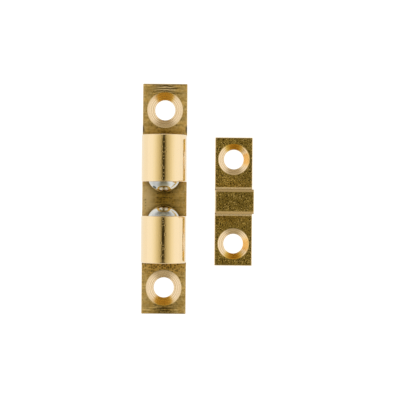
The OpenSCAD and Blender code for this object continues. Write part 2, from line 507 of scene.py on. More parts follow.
def barrel_bore(ring):
    """Wall of the bore from the outer end to the lip, with a column for each point of a ring around it: the
    adjuster's hole with its lead, a step down to the way of the ball, and the round seat."""
    around = np.arctan2(ring[:, 2] - AXIS_Z, ring[:, 0])
    thread_from = SCREW_FROM - THREAD_RUN
    lip = asin((BALL_Y - BARREL_FROM) / SEAT_R)
    seat = np.linspace(0, lip, SEAT_STEPS)
    radii = [THREAD_R + THREAD_LEAD, THREAD_R, THREAD_R, BORE_R, BORE_R, *(SEAT_R * np.cos(seat))]
    places = [BARREL_TO, BARREL_TO - THREAD_LEAD, thread_from, thread_from, BALL_Y]
    places += list(BALL_Y - SEAT_R * np.sin(seat))
    radii, places = np.array(radii)[:, None], np.array(places)[:, None]
    return circle(radii, around, places) + AXIS


def barrel_grids():
    """Grids of the rear barrel: the skin, and the loop from one end face through the bore to the other."""
    points, out, edge = barrel_outline()
    along = np.array((0, 1.0, 0))
    outer = [points - out * edge * (1 - sin(a)) + along * (BARREL_TO - edge * (1 - cos(a))) for a in ARC]
    inner = [points - out * edge * (1 - sin(a)) + along * (BARREL_FROM + edge * (1 - cos(a))) for a in ARC]
    skin = between(outer[-1], inner[-1], np.linspace(0, 1, SKIN_STEPS))
    foot = stack(HALF_W * ACROSS, 0, TAB_T)
    outer_ring = np.concatenate([outer[0], foot + along * BARREL_TO])
    inner_ring = np.concatenate([inner[0], foot + along * BARREL_FROM])
    bore = barrel_bore(outer_ring)
    return [
        (np.array(outer), "polished", False),
        (skin, "polished", False),
        (np.array(inner), "polished", False),
        (between(outer_ring, bore[0], FACE_SHARES), "cut", True),
        (bore, "turned", True),
        (between(bore[-1], inner_ring, FACE_SHARES), "cut", True),
    ]


print(f"barrels {BARREL_TO - BARREL_FROM:.2f} mm long")

# %% [markdown]
# ## The catch body
# The body is milled from one piece of brass, so its mesh is one closed skin too. The edges of the tabs
# and the floor are eased by hand on the real part, and the tool stops short of the barrels: here the
# radius of the edge fades out over the last millimetre. The front half is the rear half turned around.

# %% Floor between the barrels
EASE_RUN = 1.1
FLOOR_STEPS = 15


def lower_section():
    """Lower part of the body's section in X and Z: one eased edge, the underside and the other edge."""
    edge = np.stack([HALF_W - EDGE * (1 - np.cos(ARC)), EDGE * (1 - np.sin(ARC))], axis=-1)
    under = np.stack([(HALF_W - EDGE) * ACROSS[::-1], np.zeros_like(ACROSS)], axis=-1)
    return np.concatenate([edge, under, edge[::-1] * (-1, 1)])


def lower_grid(along, side_top):
    """The lower section carried along Y, with straight sides up to a height that may change on the way."""
    section = lower_section()
    lower = stack(section[None, :, 0], along[:, None], section[None, :, 1])
    right = stack(HALF_W, along, side_top)[:, None]
    return np.concatenate([right, lower, right * (-1, 1, 1)], axis=1)


def floor_grids():
    """Half of the floor between the barrels: flat, with a rounded edge at each side that fades out at the
    barrel, and the sides and underside below."""
    along = BARREL_FROM * (1 - crowded(FLOOR_STEPS))
    edge = (EDGE * smooth_step((BARREL_FROM - along) / EASE_RUN))[:, None]
    top = stack((HALF_W - edge) * ACROSS, along[:, None], TAB_T)
    rounding = stack(HALF_W - edge * (1 - np.sin(ARC)), along[:, None], TAB_T - edge * (1 - np.cos(ARC)))
    return [
        (top, "milled", False),
        (rounding, "eased", False),
        (rounding * (-1, 1, 1), "eased", False),
        (lower_grid(along, TAB_T - edge[:, 0]), "drawn", False),
    ]


print(f"floor {2 * BARREL_FROM:.2f} mm long, its edges fade out over {EASE_RUN} mm")

# %% Catch body mesh
COUNTERSINK_R = 3.325
HALF_TURN = (-1, -1, 1)


def pattern_mm(mount):
    """Radius of a mount's screw holes and their distance from the mount's middle, in millimetres."""
    dims = mounts[mount]["dims"]
    return dims["hole_r_mm"], dims["spacing_y_mm"] / 2


def moved(grids, scale, offset=0):
    """The same grids with their points multiplied by a scale, which can turn them around, and then moved."""
    return [(grid * scale + offset, finish, closed) for grid, finish, closed in grids]


def tab_edges(y):
    """Radius of a tab's top edges along its sides: it fades out towards the barrel."""
    return EDGE * smooth_step((y - BARREL_TO) / EASE_RUN)


def make_catch_body():
    """One closed skin: two tabs, two barrels and the floor between them."""
    tab_hole = (HOLE_Y, HOLE_R, COUNTERSINK_R)
    half = plate_grids(HALF_W, BARREL_TO, BODY_END, TAB_T, tab_hole, tab_edges)
    half += barrel_grids()
    half += [(lower_grid(np.linspace(BARREL_TO, BARREL_FROM, SKIN_STEPS), TAB_T), "drawn", False)]
    half += floor_grids()
    return piece_from_grids("brass_body", half + moved(half, HALF_TURN))


HOLE_R, HOLE_Y = pattern_mm("catch_screw_holes")
brass_body = make_catch_body()
even_normals(brass_body)
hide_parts("catch_body")
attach(brass_body, "catch")

# %% [markdown]
# ## The strike
# The strike is a length of T-shaped bar with two holes. Its tongue has a round groove in each side for
# a ball to drop into, a chamfer at the top to part the balls, and a fillet at its root. The section is
# drawn once for one side and mirrored, then carried along X, with its rim eased at both ends.

# %% Section of the tongue
strike_low, strike_high = box_mm("strike")
STRIKE_TOP = strike_high[2]
STRIKE_T = 1.5
TONGUE_HALF = 2.225
WAIST_HALF = 1.4
GROOVE_GAP = 0.3
SHUT_GAP = 0.3
GROOVE_R = BALL_R + GROOVE_GAP
GROOVE_Z = STRIKE_T + HALF_W + SHUT_GAP
CHAMFER = 0.45
FILLET = 0.45
FILLET_STEPS = 9
GROOVE_STEPS = 25
TOP_STEPS = 9
ROOT_Y = TONGUE_HALF + FILLET


def tongue_section():
    """Section of the tongue in Y and Z from its root at +Y over the top to its root at -Y, and the numbers
    of its points where the fillet, the flank, the chamfer and the top begin and end."""
    bend = np.linspace(1.5 * pi, pi, FILLET_STEPS)
    fillet = np.stack([ROOT_Y + FILLET * np.cos(bend), STRIKE_T + FILLET + FILLET * np.sin(bend)], axis=-1)
    reach = np.arccos(1 - (TONGUE_HALF - WAIST_HALF) / GROOVE_R)
    scoop = np.linspace(pi + reach, pi - reach, GROOVE_STEPS)
    groove_y = WAIST_HALF + GROOVE_R * (1 + np.cos(scoop))
    groove = np.stack([groove_y, GROOVE_Z + GROOVE_R * np.sin(scoop)], axis=-1)
    flat_half = TONGUE_HALF - CHAMFER
    chamfer = np.array([(TONGUE_HALF, STRIKE_TOP - CHAMFER), (flat_half, STRIKE_TOP)])
    top_y = np.linspace(flat_half, -flat_half, TOP_STEPS)[1:-1]
    top = np.stack([top_y, np.full_like(top_y, STRIKE_TOP)], axis=-1)
    side = np.concatenate([fillet, groove, chamfer])
    section = np.concatenate([side, top, side[::-1] * (-1, 1)])
    last, flank, head = len(section) - 1, len(fillet) - 1, len(side) - 1
    return section, (0, flank, head - 1, head, last - head, last - head + 1, last - flank, last)


def section_normals(section):
    """The way out of a section at each of its points: its direction there, turned by a quarter."""
    ahead = np.gradient(section, axis=0)
    ahead[[0, -1]] = (-1, 0)
    ahead /= np.linalg.norm(ahead, axis=1, keepdims=True)
    return np.stack([ahead[:, 1], -ahead[:, 0]], axis=-1)


TONGUE, TONGUE_BORDERS = tongue_section()
print(f"tongue {STRIKE_TOP - STRIKE_T:.2f} mm high, its section has {len(TONGUE)} points")

# %% Skin of the tongue
STRIKE_HALF_W, STRIKE_END = (strike_high - strike_low)[:2] / 2
FLAT_HALF_W = STRIKE_HALF_W - EDGE
ROOTS = np.array([[ROOT_Y], [-ROOT_Y]])


def tongue_end(sign):
    """Grids of the eased rim at one end of the tongue and of the edge below it, and the flat end face. sign
    is the side in X."""
    out = section_normals(TONGUE)
    rim = [
        np.insert(TONGUE - out * EDGE * (1 - cos(a)), 0, sign * (FLAT_HALF_W + EDGE * sin(a)), axis=1)
        for a in ARC
    ]
    fall = stack(
        sign * (STRIKE_HALF_W - EDGE * (1 - np.cos(ARC)))[None], ROOTS, EDGE * (1 - np.sin(ARC))[None]
    )
    foot = [(sign * STRIKE_HALF_W, -ROOT_Y, EDGE), (sign * STRIKE_HALF_W, ROOT_Y, EDGE)]
    end_face = np.concatenate([rim[-1], foot])
    return [(np.array(rim), "eased", False), (fall, "eased", False)], (end_face, "drawn")


def tongue_grids():
    """Grids of the tongue's skin and of the plate below it, and the flat face at each end."""
    skin = stack(FLAT_HALF_W * ACROSS[None, :], TONGUE[:, :1], TONGUE[:, 1:])
    finishes = ("eased", "cut", "polished", "milled", "polished", "cut", "eased")
    runs = zip(TONGUE_BORDERS, TONGUE_BORDERS[1:], finishes)
    grids = [(skin[start:end + 1], finish, False) for start, end, finish in runs]
    left, left_face = tongue_end(-1)
    right, right_face = tongue_end(1)
    under = stack(FLAT_HALF_W * ACROSS[None], ROOTS, 0)
    return grids + left + right + [(under, "drawn", False)], [left_face, right_face]


print(f"strike {2 * STRIKE_HALF_W:.2f} x {2 * STRIKE_END:.2f} mm")

# %% Strike mesh
STRIKE_AT = np.array(mounts["strike_screw_holes"]["pos_m"]) / MM
STRIKE_HOLE_R, STRIKE_HOLE_Y = pattern_mm("strike_screw_holes")
STRIKE_SINK_R = 2.9


def wing_edges(y):
    """Radius of a wing's top edges along its sides: the same all along."""
    return np.full_like(y, EDGE)


def make_strike():
    """One closed skin: the tongue and a wing with a countersunk hole at each side of it."""
    wing_hole = (STRIKE_HOLE_Y, STRIKE_HOLE_R, STRIKE_SINK_R)
    wing = plate_grids(STRIKE_HALF_W, ROOT_Y, STRIKE_END, STRIKE_T, wing_hole, wing_edges)
    tongue, end_faces = tongue_grids()
    grids = wing + moved(wing, HALF_TURN) + tongue
    faces = [(face + STRIKE_AT, finish) for face, finish in end_faces]
    return piece_from_grids("brass_strike", moved(grids, 1, STRIKE_AT), faces)


brass_strike = make_strike()
even_normals(brass_strike)
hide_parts("strike")
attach(brass_strike, "catch")

# %% [markdown]
# ## Balls
# The balls are ground and chromed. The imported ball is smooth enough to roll, but a mirror shows every
# facet, so each is made again as a finer grid of latitudes and longitudes, with its poles on the line
# that it slides along.

# %% Ball meshes
BALL_RINGS = 97
BALL_SECTORS = 192


def make_ball(name, solid):
    """A sphere: circles about the Y axis, of a radius and at a place that follow from the latitude."""
    low, high = box_mm(solid)
    centre, radius = (low + high) / 2, (high[0] - low[0]) / 2
    latitude = np.linspace(-pi / 2, pi / 2, BALL_RINGS)[:, None]
    longitude = np.arange(BALL_SECTORS)[None] * 2 * pi / BALL_SECTORS
    grid = centre + radius * circle(np.cos(latitude), longitude, np.sin(latitude))
    ball = piece_from_grids(name, [(grid, "polished", True)])
    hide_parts(solid)
    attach(ball, solid)
    return ball


balls = [make_ball(f"{place}_steel_ball", f"{place}_ball") for place in ("rear", "front")]

# %% [markdown]
# ## Springs
# A spring is a wire wound round the axis of the barrel, close at both ends and open in between. A curve
# with a bevel could draw it, but here the wire is a small circle carried along the path as one more
# grid.

# %% Spring meshes
WIRE_R = 0.2
WIRE_SECTORS = 16
CLOSED_TURNS = 0.75
OPEN_TURNS = 2
CLOSED_PITCH = 0.46
SPRING_STEPS = 337


def spring_path(length):
    """Turns wound so far, and the way gone along the axis: slow in the closed turns, even in between."""
    turns = np.linspace(0, OPEN_TURNS + 2 * CLOSED_TURNS, SPRING_STEPS)
    open_pitch = (length - 2 * CLOSED_TURNS * CLOSED_PITCH) / OPEN_TURNS
    middle = np.clip(turns - CLOSED_TURNS, 0, OPEN_TURNS)
    return turns, (turns - middle) * CLOSED_PITCH + middle * open_pitch


def make_spring(name, solid, sign):
    """A round wire carried along a coil. sign is +1 for the rear spring and -1 for the front one."""
    low, high = box_mm(solid)
    coil_r = (high[0] - low[0]) / 2 - WIRE_R
    start = min(abs(low[1]), abs(high[1])) + WIRE_R
    length = high[1] - low[1] - 2 * WIRE_R
    turns, gone = spring_path(length)
    turn, along = 2 * pi * turns[:, None], (start + gone)[:, None]
    round_wire = np.arange(WIRE_SECTORS)[None] * 2 * pi / WIRE_SECTORS
    radius = coil_r + WIRE_R * np.cos(round_wire)
    wire = circle(radius, turn, along + WIRE_R * np.sin(round_wire)) + AXIS
    wire = wire * (sign, sign, 1)
    spring = piece_from_grids(name, [(wire, "milled", True)], [(wire[0], "milled"), (wire[-1], "milled")])
    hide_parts(solid)
    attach(spring, "catch")
    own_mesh(spring)
    return spring


springs = [
    make_spring("rear_coil", "rear_spring", 1),
    make_spring("front_coil", "front_spring", -1),
]

# %% [markdown]
# ## Adjusters
# A slotted screw closes each barrel and sets the spring. Its end is drawn as chords of a circle, so
# the slot is simply the band of chords near the middle, set deeper. The thread is a ripple of the
# radius that follows a helix, on the part below the slot. The screw is worked out about the Y axis and
# then lifted to the axis of the barrels.

# %% Wall of an adjuster
SLOT_HALF = 0.45
SLOT_DEPTH = 0.8
SLOT_Y = SCREW_TO - SLOT_DEPTH
SCREW_CHAMFER = 0.2
FACE_R = SCREW_R - SCREW_CHAMFER
THREAD_PITCH = 0.5
THREAD_DEPTH = 0.25
THREAD_FADE = 1 / 6
THREAD_STEPS = 41
CAP_STEPS = 65
SLOT_STEPS = 9
SLOT_TURN = asin(SLOT_HALF / SCREW_R)
CAP_TURNS = np.linspace(SLOT_TURN, pi - SLOT_TURN, CAP_STEPS)
END_SHARES = (0, 0.4, 1)


def screw_wall(sign):
    """Grids of the threaded wall, its chamfer and the inner end. The thread goes down and up once in each
    pitch, moves on by one pitch in each turn, and fades out at both ends."""
    slot_turns = np.linspace(pi - SLOT_TURN, pi + SLOT_TURN, SLOT_STEPS)[1:-1]
    around = np.concatenate([CAP_TURNS, slot_turns, CAP_TURNS + pi, slot_turns + pi])
    along = np.linspace(SCREW_FROM + SCREW_CHAMFER, SLOT_Y, THREAD_STEPS)[:, None]
    ripple = np.abs(2 * ((along / THREAD_PITCH - sign * around[None] / (2 * pi)) % 1) - 1)
    share = (along - along[0]) / (along[-1] - along[0])
    fade = smooth_step(share / THREAD_FADE) * smooth_step((1 - share) / THREAD_FADE)
    wall = circle(SCREW_R - THREAD_DEPTH * fade * ripple, around, along)
    rim = circle(FACE_R, around, SCREW_FROM)
    middle = np.zeros_like(rim) + (0, SCREW_FROM, 0)
    return [
        (wall, "turned", True),
        (np.array([rim, wall[0]]), "turned", True),
        (between(middle, rim, END_SHARES), "turned", True),
    ]


print(f"thread {SLOT_Y - SCREW_FROM - SCREW_CHAMFER:.2f} mm long, with a pitch of {THREAD_PITCH} mm")

# %% Caps and slot of an adjuster
CHORD_SHARES = (0, 0.05, 0.5, 0.95, 1)


def screw_cap(half):
    """Grids of one cap beside the slot: its round side, its face of chords, and its wall of the slot. half
    is +1 for the upper cap and -1 for the lower one."""
    rim_turn = asin(SLOT_HALF / FACE_R)
    foot = circle(SCREW_R, CAP_TURNS, SLOT_Y)
    shoulder = circle(SCREW_R, CAP_TURNS, SCREW_TO - SCREW_CHAMFER)
    rim = circle(FACE_R, np.linspace(rim_turn, pi - rim_turn, CAP_STEPS), SCREW_TO)
    side = np.array([foot, shoulder, rim])
    slot_wall = side * (1, 1, 0) + (0, 0, SLOT_HALF)
    face = between(rim, slot_wall[-1], CHORD_SHARES)
    grids = [(side, "turned", False), (face, "turned", False), (slot_wall, "milled", False)]
    return moved(grids, (half, 1, half))


def slot_bottom():
    """Grid of the bottom of the slot: chords from one end of the slot to the other."""
    right_end = circle(SCREW_R, np.linspace(-SLOT_TURN, SLOT_TURN, SLOT_STEPS), SLOT_Y)
    shares = (1 - np.cos(CAP_TURNS) / cos(SLOT_TURN)) / 2
    return between(right_end, right_end * (-1, 1, 1), shares), "milled", False


print(f"slot {2 * SLOT_HALF:.2f} mm wide and {SLOT_DEPTH} mm deep")

# %% Adjuster meshes
def make_adjuster(name, solid, sign):
    """A slotted screw along the barrel. sign is +1 for the rear adjuster and -1 for the front one."""
    grids = [*screw_wall(sign), *screw_cap(1), *screw_cap(-1), slot_bottom()]
    screw = piece_from_grids(name, moved(grids, (sign, sign, 1), AXIS))
    even_normals(screw)
    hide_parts(solid)
    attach(screw, solid)
    return screw


adjusters = [
    make_adjuster("rear_screw", "rear_adjuster", 1),
    make_adjuster("front_screw", "front_adjuster", -1),
]

# %% [markdown]
# ## Effects that the finishes share
# Worked brass is never one colour. A cutter leaves fine straight lines on flat faces and rings in a
# countersink, tumbling leaves a grain, and handling leaves stains and small nicks. Each of these is a
# node group here. It takes a place on the piece in millimetres and puts out a value from 0 to 1, which
# a material then uses for colour, roughness or relief. One group can so serve several materials. An
# image could show the same marks, but it would have to be unwrapped onto each piece, and it blurs close
# up.

# %% Cutter lines
def new_group(name, sockets, result):
    """An empty node group with a place as its first input, further inputs with their usual values, and one
    number as its output."""
    tree = bpy.data.node_groups.new(name, "ShaderNodeTree")
    tree.interface.new_socket("Place", in_out="INPUT", socket_type="NodeSocketVector")
    for socket, value in sockets.items():
        kind = "NodeSocketVector" if isinstance(value, tuple) else "NodeSocketFloat"
        tree.interface.new_socket(socket, in_out="INPUT", socket_type=kind).default_value = value
    tree.interface.new_socket(result, in_out="OUTPUT", socket_type="NodeSocketFloat")
    entry, leave = tree.nodes.new("NodeGroupInput"), tree.nodes.new("NodeGroupOutput")
    return tree, entry.outputs, leave.inputs[result]


def spread_out(tree, value, half_range):
    """Spreads a noise, which stays near its middle, so that it fills the range from 0 to 1."""
    low = calc(tree, "SUBTRACT", 0.5, half_range)
    high = calc(tree, "ADD", 0.5, half_range)
    return soft_step(tree, value, low, high)


def cutter_lines():
    """Straight lines along X or, for stretch (many, few, many), along Y: noise squeezed across the lines."""
    tree, entry, leave = new_group("cutter_lines", {"Stretch": (0.1, 5.0, 5.0), "Half range": 0.2}, "Lines")
    squeezed = vector_calc(tree, "MULTIPLY", entry["Place"], entry["Stretch"])
    noise = node(tree, "TexNoise", {"Vector": squeezed, "Scale": 1, "Detail": 3, "Roughness": 0.7})
    tree.links.new(spread_out(tree, noise.outputs["Fac"], entry["Half range"]), leave)
    return tree


LINES = cutter_lines()
print("made", LINES.name)

# %% [markdown]
# ## Rings and strokes
# A countersink bit leaves rings about its hole, and a rag leaves wavy strokes on the end that it rubs. A
# noise looks alike in all directions, so for rings it is read by the distance from the hole alone, and
# for strokes a pattern of bands is bent by it.

# %% Turned rings and rubbed strokes
def vector_length(tree, vector):
    """The length of a vector."""
    return node(tree, "VectorMath", {0: vector}, operation="LENGTH").outputs["Value"]


def turned_rings():
    """Rings about two screw holes at equal distances from the middle: noise of the distance from a hole."""
    tree, entry, leave = new_group("turned_rings", {"Hole distance": 10.0, "Rings per mm": 5.0}, "Rings")
    parts = node(tree, "SeparateXYZ", {0: entry["Place"]})
    off = calc(tree, "SUBTRACT", calc(tree, "ABSOLUTE", parts.outputs["Y"]), entry["Hole distance"])
    flat = node(tree, "CombineXYZ", {"X": parts.outputs["X"], "Y": off}).outputs[0]
    noise = node(
        tree, "TexNoise",
        {"W": vector_length(tree, flat), "Scale": entry["Rings per mm"], "Detail": 2, "Roughness": 0.6},
        noise_dimensions="1D",
    )
    tree.links.new(spread_out(tree, noise.outputs["Fac"], 0.2), leave)
    return tree


def rubbed_strokes():
    """Wavy strokes one above the other: bands across Y, bent by a noise."""
    tree, entry, leave = new_group("rubbed_strokes", {"Scale": 0.67, "Distortion": 3.0}, "Strokes")
    bands = node(tree, "TexWave", {
        "Vector": entry["Place"], "Scale": entry["Scale"], "Distortion": entry["Distortion"],
        "Detail": 2, "Detail Scale": 1.2,
    }, bands_direction="Y")
    tree.links.new(spread_out(tree, bands.outputs["Fac"], 0.4), leave)
    return tree


RINGS, STROKES = turned_rings(), rubbed_strokes()
print("made", RINGS.name, STROKES.name)

# %% [markdown]
# ## Stains, grain and pits
# Stains are cloudy, so they are plain noise. The grain of tumbled metal is made of small facets that
# each catch the light in their own way, so it starts from cells of random tone. Pits are scattered
# singly: a pattern of cells has a middle in each cell, and only a share of these middles is kept.

# %% Stains, grain and pits
def stains():
    """Cloudy patches with soft borders: plain noise, spread out."""
    tree, entry, leave = new_group("stains", {"Scale": 0.5, "Detail": 4.0, "Half range": 0.2}, "Stain")
    noise = node(tree, "TexNoise", {
        "Vector": entry["Place"], "Scale": entry["Scale"], "Detail": entry["Detail"], "Roughness": 0.55
    })
    tree.links.new(spread_out(tree, noise.outputs["Fac"], entry["Half range"]), leave)
    return tree


def ramp(tree, share, first, second):
    """The first number where the share is 0, the second where it is 1."""
    return node(tree, "Mix", {"Factor": share, 2: first, 3: second}).outputs[0]


def grain():
    """Speckles of tumbled metal: small cells of random tone, softened by a noise of about the same size."""
    tree, entry, leave = new_group("grain", {"Scale": 5.0}, "Grain")
    cells = node(tree, "TexVoronoi", {"Vector": entry["Place"], "Scale": entry["Scale"]})
    tone = node(tree, "SeparateColor", {0: cells.outputs["Color"]}).outputs[0]
    noise = node(tree, "TexNoise", {"Vector": entry["Place"], "Scale": entry["Scale"], "Detail": 2})
    evened = calc(tree, "MULTIPLY_ADD", tone, 0.35, 0.32)
    tree.links.new(spread_out(tree, ramp(tree, 0.5, evened, noise.outputs["Fac"]), 0.1), leave)
    return tree


def pits():
    """Small scattered pits: the middles of the cells of a pattern in X and Y, of which a share is kept."""
    tree, entry, leave = new_group("pits", {"Scale": 3.0, "Share": 0.5, "Size": 0.25}, "Pits")
    cells = node(
        tree, "TexVoronoi", {"Vector": entry["Place"], "Scale": entry["Scale"]}, voronoi_dimensions="2D"
    )
    near = soft_step(tree, cells.outputs["Distance"], entry["Size"], 0.0)
    chance = node(tree, "SeparateColor", {0: cells.outputs["Color"]}).outputs[0]
    kept = calc(tree, "LESS_THAN", chance, entry["Share"])
    tree.links.new(calc(tree, "MULTIPLY", near, kept), leave)
    return tree


STAINS, GRAIN, PITS = stains(), grain(), pits()
print("made", STAINS.name, GRAIN.name, PITS.name)

# %% [markdown]
# ## Zones of a piece
# Some effects belong to a place and not to the whole surface: the middle of a bar mirrors another part
# of the room than its sides do, and wear sits where a hand or a tool touched. Painting such a zone by
# hand would tie it to one mesh, so a zone is a formula of the place: a soft oval, or a rise to the sides.

# %% Spots and the crown
def spot():
    """One soft-edged oval patch at a given centre, 1 in its middle and 0 at its rim."""
    tree, entry, leave = new_group("spot", {"Centre": (0.0, 0.0, 0.0), "Half size": (1.0, 1.0, 1.0)}, "Spot")
    off = vector_calc(tree, "SUBTRACT", entry["Place"], entry["Centre"])
    far = vector_length(tree, vector_calc(tree, "DIVIDE", off, entry["Half size"]))
    tree.links.new(soft_step(tree, far, 1.0, 0.0), leave)
    return tree


def crown():
    """Rises from 0 in the middle of a bar to 1 at its sides: a power of the distance in X."""
    tree, entry, leave = new_group("crown", {"Half width": 1.0, "Power": 2.0}, "Crown")
    across = node(tree, "SeparateXYZ", {0: entry["Place"]}).outputs["X"]
    share = calc(tree, "ABSOLUTE", calc(tree, "DIVIDE", across, entry["Half width"]))
    tree.links.new(calc(tree, "POWER", share, entry["Power"]), leave)
    return tree


SPOT, CROWN = spot(), crown()
print("made", SPOT.name, CROWN.name)

# %% [markdown]
# ## Mixing finishes
# A piece can carry several finishes. Every face was marked with its finish when the mesh was made, and
# a material reads these marks as masks. Separate materials on one piece would do too, but they could not
# share a stain that runs over an edge. Small helpers keep the wiring short.

# %% Starting a metal
def new_metal(name):
    """A metal with its node tree, its shader and the place on the piece in millimetres."""
    material = bpy.data.materials.new(name)
    material.use_nodes = True
    tree = material.node_tree
    shader = tree.nodes["Principled BSDF"]
    shader.inputs["Metallic"].default_value = 1
    place = node(tree, "Mapping", {
        "Vector": node(tree, "TexCoord").outputs["Object"], "Scale": (1 / MM, 1 / MM, 1 / MM)
    }).outputs[0]
    return material, tree, shader, place


def masks(tree, *zones):
    """The marks of several finishes on the faces of a piece, by their names."""
    return SimpleNamespace(**{
        zone: node(tree, "Attribute", attribute_name=zone).outputs["Fac"] for zone in zones
    })


def relief(tree, shader, height, depth_mm):
    """Presses a pattern into the surface, so many millimetres deep."""
    bump = node(tree, "Bump", {"Strength": 1, "Distance": depth_mm * MM, "Height": height})
    tree.links.new(bump.outputs["Normal"], shader.inputs["Normal"])


def give(piece, material):
    """Puts a material on a piece."""
    piece.data.materials.clear()
    piece.data.materials.append(material)
    print(f"{piece.name}: {material.name} of {len(material.node_tree.nodes)} nodes")


print("finishes to mix:", *ZONES)

# %% Effects in layers
def use(tree, group, place, **inputs):
    """Puts a node group into a material and gives its output."""
    made = tree.nodes.new("ShaderNodeGroup")
    made.node_tree = group
    tree.links.new(place, made.inputs["Place"])
    for key, value in inputs.items():
        made.inputs[key.replace("_", " ").capitalize()].default_value = value
    return made.outputs[0]


def times(tree, first, second):
    """The product of two numbers, kept between 0 and 1."""
    return node(tree, "Math", {0: first, 1: second}, operation="MULTIPLY", use_clamp=True).outputs[0]


def largest(tree, *values):
    """The largest of several numbers."""
    value = values[0]
    for other in values[1:]:
        value = calc(tree, "MAXIMUM", value, other)
    return value


def spots(tree, place, centres, half_size, strength=1.0):
    """Soft oval patches of one size as one mask. A strength above 1 widens their full middle."""
    patches = [use(tree, SPOT, place, centre=centre, half_size=half_size) for centre in centres]
    return times(tree, largest(tree, *patches), strength)


def layered(tree, mix, base, *layers):
    """Lays colours (with blend) or numbers (with ramp) over a base, one after the other. A layer is its
    mask, its colour or number and, where the mask is to be weaker or stronger, its strength."""
    for mask, layer, *strength in layers:
        share = times(tree, mask, *strength) if strength else mask
        base = mix(tree, share, base, layer)
    return base


print("effects to mix by:", *(group.name for group in bpy.data.node_groups))

# %% [markdown]
# ## Marks of one place on the body
# This catch has been handled. One end was rubbed in strokes, the other is pitted towards its barrel and
# has a smudge and a nick, and the floor has a pale rim with dents at one side. Shade is painted on too: dark
# under the balls, in the gap between them and in the corners at the barrels. Each mark is a soft oval on the
# flat faces, given by its centre and half size in X and Y and its strength, and some are broken up by
# strokes or pits.

# %% Marks of the body
WORN_END = ([(0.1, 20.6)], (2.9, 1.5))
PITTED_END = ([(0, -11.6)], (8.0, 4.5))
SMUDGE = ([(0.3, -20.4)], (2.4, 1.8))
NICK = ([(2.5, -13.4)], (0.4, 0.4))
PALE_RIM = ([(-3.6, 0)], (2.6, 5.0), 0.7)
DENTED_RIM = ([(-3.6, 0)], (0.4, 3.6), 0.9)
DARK_EDGE_ENDS = ([(-HALF_W, 13.0), (HALF_W, 13.0)], (0.45, 1.1), 2.0)
# Painted shade: dark on the floor round each ball, and darker in the gap and the corners at the barrels.
PAINTED_SHADE_UNDER_BALLS = ([(0, -BALL_Y), (0, BALL_Y)], (4.0, 4.0), 6.0)
GAP_SHADE = ([(0, 0)], (4.4, 7.0), 0.85)
FRONT_CORNER_SHADE = ([(0, -BARREL_TO)], (6.0, 3.0), 0.2)
REAR_CORNER_SHADE = ([(0, BARREL_TO)], (6.0, 3.0), 0.95)
MARK_HALF_HEIGHT = 1.0


def flat_spots(tree, place, centres, half_size, strength=1.0):
    """Soft ovals on the flat faces of the body, given in X and Y."""
    raised = [(x, y, TAB_T) for x, y in centres]
    return spots(tree, place, raised, (*half_size, MARK_HALF_HEIGHT), strength)


def body_marks(tree, place):
    """Masks of the pale strokes and rim, of the dark marks with the painted shade under the balls, of the
    painted shade in the gap and the corners, and of the pitted end.
    """
    strokes = use(tree, STROKES, place)
    bare = calc(tree, "SUBTRACT", 1.0, strokes)
    worn = flat_spots(tree, place, *WORN_END)
    pitted = flat_spots(tree, place, *PITTED_END)
    end_pits = times(tree, use(tree, PITS, place, scale=2.5, share=0.55, size=0.5), 5.0)
    dents = use(tree, PITS, place, scale=1.7, share=0.6, size=0.45)
    pale = largest(tree, times(tree, strokes, worn), flat_spots(tree, place, *PALE_RIM))
    dark = largest(
        tree,
        times(tree, flat_spots(tree, place, *SMUDGE), times(tree, strokes, 1.4)),
        times(tree, bare, times(tree, worn, 1.5)),
        times(tree, end_pits, times(tree, pitted, 1.3)),
        times(tree, dents, flat_spots(tree, place, *DENTED_RIM)),
        *(flat_spots(tree, place, *mark) for mark in (NICK, DARK_EDGE_ENDS, PAINTED_SHADE_UNDER_BALLS)),
    )
    shades = (GAP_SHADE, FRONT_CORNER_SHADE, REAR_CORNER_SHADE)
    shaded = largest(tree, *(flat_spots(tree, place, *shade) for shade in shades))
    return SimpleNamespace(pale=pale, dark=dark, shaded=shaded, pitted=pitted)


print(f"strokes centred {BODY_END - WORN_END[0][0][1]:.1f} mm from the rear end")

# %% [markdown]
# ## Colours of the body
# The flat faces are as the cutter left them: dull, golden brown, with fine lines across and some stains.
# The barrels are polished, the countersinks show the rings of the tool, the sides are the skin of the
# drawn bar, and the ends of the barrels are freshly cut. At the far side of each countersink the wall
# mirrors the brass across the hole, and that is painted in as a deep orange: a painted reflection. The
# patterns are made once and serve the colour, the roughness and the relief alike, so that they fall
# together as on real metal.

# %% Patterns of the body
ENDLESS = 60.0


def body_patterns(tree, place):
    """What the tools and the air left on the body: lines, pits along the barrels' tops, stains and rings.
    sides and dome rise from the middle of the bar to its sides."""
    crest = spots(tree, place, [(0, 0, BODY_TOP)], (1.0, ENDLESS, ENDLESS), 1.5)
    return SimpleNamespace(
        lines=use(tree, LINES, place, stretch=(0.2, 3.2, 3.2), half_range=0.1),
        long_lines=use(tree, LINES, place, stretch=(6.0, 0.12, 6.0)),
        waves=use(tree, LINES, place, stretch=(2.4, 1.6, 2.4)),
        pits=times(tree, use(tree, PITS, place, scale=3.0, share=0.24, size=0.5), crest),
        stain=use(tree, STAINS, place, scale=0.45, half_range=0.15),
        cloud=use(tree, STAINS, place, scale=1.1, half_range=0.12),
        mottle=use(tree, STAINS, place, scale=2.2, detail=5.0, half_range=0.1),
        rings=use(tree, RINGS, place, hole_distance=HOLE_Y, rings_per_mm=6.0),
        sides=use(tree, CROWN, place, half_width=HALF_W, power=1.0),
        dome=use(tree, CROWN, place, half_width=HALF_W, power=2.0),
    )


print(f"pits along the barrels, {BODY_TOP:.2f} mm up")

